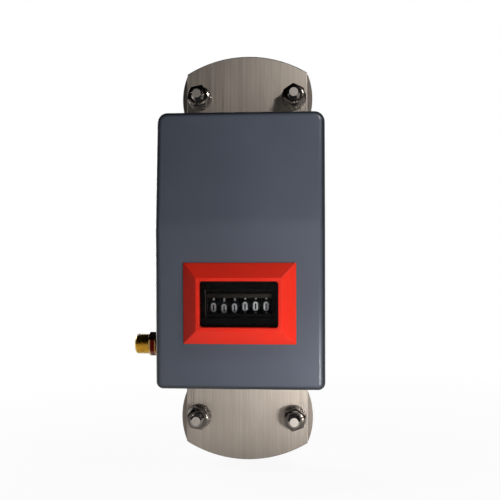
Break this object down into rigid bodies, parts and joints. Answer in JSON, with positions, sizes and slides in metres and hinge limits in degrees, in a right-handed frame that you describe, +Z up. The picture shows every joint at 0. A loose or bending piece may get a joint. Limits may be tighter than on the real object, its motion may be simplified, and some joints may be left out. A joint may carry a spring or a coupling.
{
  "type": "lightning strike counter",
  "caption": "Box-shaped lightning strike counter: figure wheels behind a red-framed window, test jack, stainless plate and clamp saddles for a down conductor.",
  "frame": {"origin": "middle of the rear face of the base plate, where the down conductor lies", "axes": "+Z up along the plate and the conductor, figures face -Y, +X to the viewer's right"},
  "size_m": [0.0887, 0.0589, 0.2],
  "materials": {
    "stainless_plate": "brushed, fine vertical grain",
    "stainless_saddle": "brushed, edges tumbled",
    "stainless_bolts": "rolled thread, satin",
    "stainless_nuts": "satin",
    "stainless_washers": "stamped, satin",
    "case_plastic": "fine satin moulded texture, blue-grey",
    "cover_plastic": "fine satin moulded texture, blue-grey",
    "seal_rubber": "matt",
    "screw_steel": "zinc plated, satin",
    "red_plastic": "semi-gloss signal red",
    "clear_lens": "clear, polished",
    "black_plastic": "satin black",
    "wheel_plastic": "satin black with white figures",
    "bright_steel": "ground bright steel",
    "soft_iron": "zinc plated iron",
    "natural_plastic": "natural acetal",
    "enamelled_copper": "enamelled wire, wound",
    "board_laminate": "green solder mask",
    "capacitor_sleeve": "heat-shrink sleeve",
    "component_black": "moulded body",
    "component_ceramic": "glazed",
    "component_tan": "lacquered",
    "terminal_plastic": "moulded",
    "ferrite": "sintered ferrite, ground",
    "lead_red": "insulated lead",
    "lead_blue": "insulated lead",
    "lead_black": "insulated lead",
    "gilt_brass": "bright gold-coloured plating"
  },
  "bodies": {
    "root": {"base_plate": "stainless_plate", "clamp_nuts": "stainless_nuts", "spring_washers": "stainless_washers", "flat_washers": "stainless_washers", "case_shell": "case_plastic", "case_back": "cover_plastic", "case_gasket": "seal_rubber", "case_screws": "screw_steel", "bezel_frame": "red_plastic", "window_lens": "clear_lens", "lens_seal": "seal_rubber", "counter_mask": "black_plastic", "counter_frame": "black_plastic", "counter_cover": "black_plastic", "counter_screws": "screw_steel", "wheel_axle": "bright_steel", "pinion_axle": "bright_steel", "armature_pin": "bright_steel", "return_spring": "bright_steel", "coil_yoke": "soft_iron", "coil_core": "soft_iron", "coil_bobbin": "natural_plastic", "coil_winding": "enamelled_copper", "circuit_board": "board_laminate", "board_screws": "screw_steel", "capacitor": "capacitor_sleeve", "rectifier_diodes": "component_black", "surge_arrester": "component_ceramic", "resistors": "component_tan", "terminal_blocks": "terminal_plastic", "pickup_core": "ferrite", "pickup_winding": "enamelled_copper", "pickup_holder": "natural_plastic", "pickup_leads": "lead_red", "counter_leads": "lead_blue", "jack_leads": "lead_black", "jack_body": "gilt_brass", "jack_insulator": "natural_plastic", "jack_contact": "gilt_brass", "jack_panel_nut": "gilt_brass", "jack_jam_nut": "gilt_brass", "jack_lock_washer": "bright_steel"},
    "clamp_upper": {"clamp_saddle_upper": "stainless_saddle", "clamp_bolts_upper": "stainless_bolts"},
    "clamp_lower": {"clamp_saddle_lower": "stainless_saddle", "clamp_bolts_lower": "stainless_bolts"},
    "wheel_1": {"number_wheel_1": "wheel_plastic"},
    "wheel_2": {"number_wheel_2": "wheel_plastic"},
    "wheel_3": {"number_wheel_3": "wheel_plastic"},
    "wheel_4": {"number_wheel_4": "wheel_plastic"},
    "wheel_5": {"number_wheel_5": "wheel_plastic"},
    "units_wheel": {"number_wheel_6": "wheel_plastic", "star_wheel": "natural_plastic"},
    "pinion_1": {"carry_pinion_1": "natural_plastic"},
    "pinion_2": {"carry_pinion_2": "natural_plastic"},
    "pinion_3": {"carry_pinion_3": "natural_plastic"},
    "pinion_4": {"carry_pinion_4": "natural_plastic"},
    "pinion_5": {"carry_pinion_5": "natural_plastic"},
    "flap": {"armature": "soft_iron", "drive_pallet": "natural_plastic"}
  },
  "joints": [
    {"name": "clamp_upper_slide", "type": "slide", "parent": "root", "child": "clamp_upper", "axis": [0, 1, 0], "range_m": [0, 0.0055]},
    {"name": "clamp_lower_slide", "type": "slide", "parent": "root", "child": "clamp_lower", "axis": [0, 1, 0], "range_m": [0, 0.0055]},
    {"name": "units_wheel_spin", "type": "hinge", "parent": "root", "child": "units_wheel", "pos_m": [0, -0.03439, -0.02183], "axis": [1, 0, 0], "continuous": true},
    {"name": "wheel_5_spin", "type": "hinge", "parent": "root", "child": "wheel_5", "pos_m": [0, -0.03439, -0.02183], "axis": [1, 0, 0], "continuous": true},
    {"name": "pinion_5_spin", "type": "hinge", "parent": "root", "child": "pinion_5", "pos_m": [0, -0.03392, -0.03092], "axis": [1, 0, 0], "continuous": true},
    {"name": "wheel_4_spin", "type": "hinge", "parent": "root", "child": "wheel_4", "pos_m": [0, -0.03439, -0.02183], "axis": [1, 0, 0], "continuous": true},
    {"name": "pinion_4_spin", "type": "hinge", "parent": "root", "child": "pinion_4", "pos_m": [0, -0.03392, -0.03092], "axis": [1, 0, 0], "continuous": true},
    {"name": "wheel_3_spin", "type": "hinge", "parent": "root", "child": "wheel_3", "pos_m": [0, -0.03439, -0.02183], "axis": [1, 0, 0], "continuous": true},
    {"name": "pinion_3_spin", "type": "hinge", "parent": "root", "child": "pinion_3", "pos_m": [0, -0.03392, -0.03092], "axis": [1, 0, 0], "continuous": true},
    {"name": "wheel_2_spin", "type": "hinge", "parent": "root", "child": "wheel_2", "pos_m": [0, -0.03439, -0.02183], "axis": [1, 0, 0], "continuous": true},
    {"name": "pinion_2_spin", "type": "hinge", "parent": "root", "child": "pinion_2", "pos_m": [0, -0.03392, -0.03092], "axis": [1, 0, 0], "continuous": true},
    {"name": "wheel_1_spin", "type": "hinge", "parent": "root", "child": "wheel_1", "pos_m": [0, -0.03439, -0.02183], "axis": [1, 0, 0], "continuous": true},
    {"name": "pinion_1_spin", "type": "hinge", "parent": "root", "child": "pinion_1", "pos_m": [0, -0.03392, -0.03092], "axis": [1, 0, 0], "continuous": true},
    {"name": "armature_pull", "type": "hinge", "parent": "root", "child": "flap", "pos_m": [0, -0.01282, -0.01224], "axis": [1, 0, 0], "range_deg": [0, 3.8], "stiffness_Nm_per_rad": 0.02, "springref_deg": -8.59, "deforming": ["return_spring"]}
  ],
  "couplings": [
    {"joint": "wheel_5_spin", "follows": "units_wheel_spin", "ratio": 0.1},
    {"joint": "pinion_5_spin", "follows": "units_wheel_spin", "ratio": -0.25},
    {"joint": "wheel_4_spin", "follows": "units_wheel_spin", "ratio": 0.01},
    {"joint": "pinion_4_spin", "follows": "units_wheel_spin", "ratio": -0.025},
    {"joint": "wheel_3_spin", "follows": "units_wheel_spin", "ratio": 0.001},
    {"joint": "pinion_3_spin", "follows": "units_wheel_spin", "ratio": -0.0025},
    {"joint": "wheel_2_spin", "follows": "units_wheel_spin", "ratio": 0.0001},
    {"joint": "pinion_2_spin", "follows": "units_wheel_spin", "ratio": -0.00025},
    {"joint": "wheel_1_spin", "follows": "units_wheel_spin", "ratio": 0.00001},
    {"joint": "pinion_1_spin", "follows": "units_wheel_spin", "ratio": -0.000025}
  ]
}
